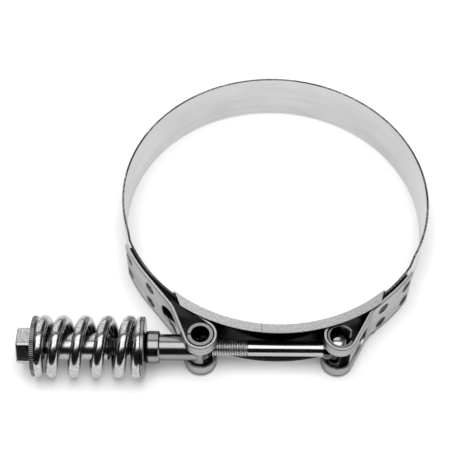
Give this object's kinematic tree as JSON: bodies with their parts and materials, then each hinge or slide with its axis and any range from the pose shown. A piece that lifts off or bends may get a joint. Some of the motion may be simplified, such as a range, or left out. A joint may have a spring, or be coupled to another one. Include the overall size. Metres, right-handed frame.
{
  "type": "t bolt clamp",
  "caption": "Spring-loaded T bolt hose clamp: a steel band ring closed by a slotted loop at each end, a T bolt, and a barrel nut that pulls it tight through a coil spring.",
  "frame": {"origin": "on the ring's axis at half the width of the band", "axes": "+Z along the ring's axis, +X along the bolt towards its head, -Y from the ring's axis to the bolt"},
  "size_m": [0.153, 0.1324, 0.0228],
  "materials": {
    "band_steel": "satin rolled strip",
    "strap_steel": "satin strip with sheared edges",
    "bolt_steel": "bright drawn and turned steel",
    "washer_steel": "bright stamped steel",
    "spring_steel": "bright drawn wire"
  },
  "bodies": {
    "ring": {"band": "band_steel", "bridge": "band_steel", "nut_loop": "strap_steel", "head_loop": "strap_steel", "head_bush": "strap_steel"},
    "bolt": {"t_bolt": "bolt_steel", "sleeve": "bolt_steel", "spring": "spring_steel"},
    "trunnion": {"trunnion": "strap_steel"},
    "sleeve_washer": {"sleeve_washer": "washer_steel"},
    "nut_washer": {"nut_washer": "washer_steel"},
    "barrel_nut": {"barrel_nut": "bolt_steel"}
  },
  "joints": [
    {"name": "bolt_swing", "type": "hinge", "parent": "ring", "child": "bolt", "pos_m": [0.02155, -0.06205, 0], "axis": [0, 0, 1], "range_deg": [-0.4, 0.4]},
    {"name": "trunnion_pivot", "type": "hinge", "parent": "bolt", "child": "trunnion", "pos_m": [-0.0278, -0.06205, 0], "axis": [0, 0, 1], "range_deg": [-3, 3]},
    {"name": "washer_spin", "type": "hinge", "parent": "bolt", "child": "sleeve_washer", "pos_m": [-0.0486, -0.06205, 0], "axis": [1, 0, 0], "continuous": true},
    {"name": "nut_advance", "type": "slide", "parent": "bolt", "child": "nut_washer", "axis": [1, 0, 0], "range_m": [0, 0.01089], "deforming": ["spring"]},
    {"name": "nut_spin", "type": "hinge", "parent": "nut_washer", "child": "barrel_nut", "pos_m": [-0.09, -0.06205, 0], "axis": [1, 0, 0], "range_deg": [0, 4320]}
  ],
  "couplings": [
    {"joint": "nut_advance", "follows": "nut_spin", "m_per_rad": 0.00014435}
  ]
}
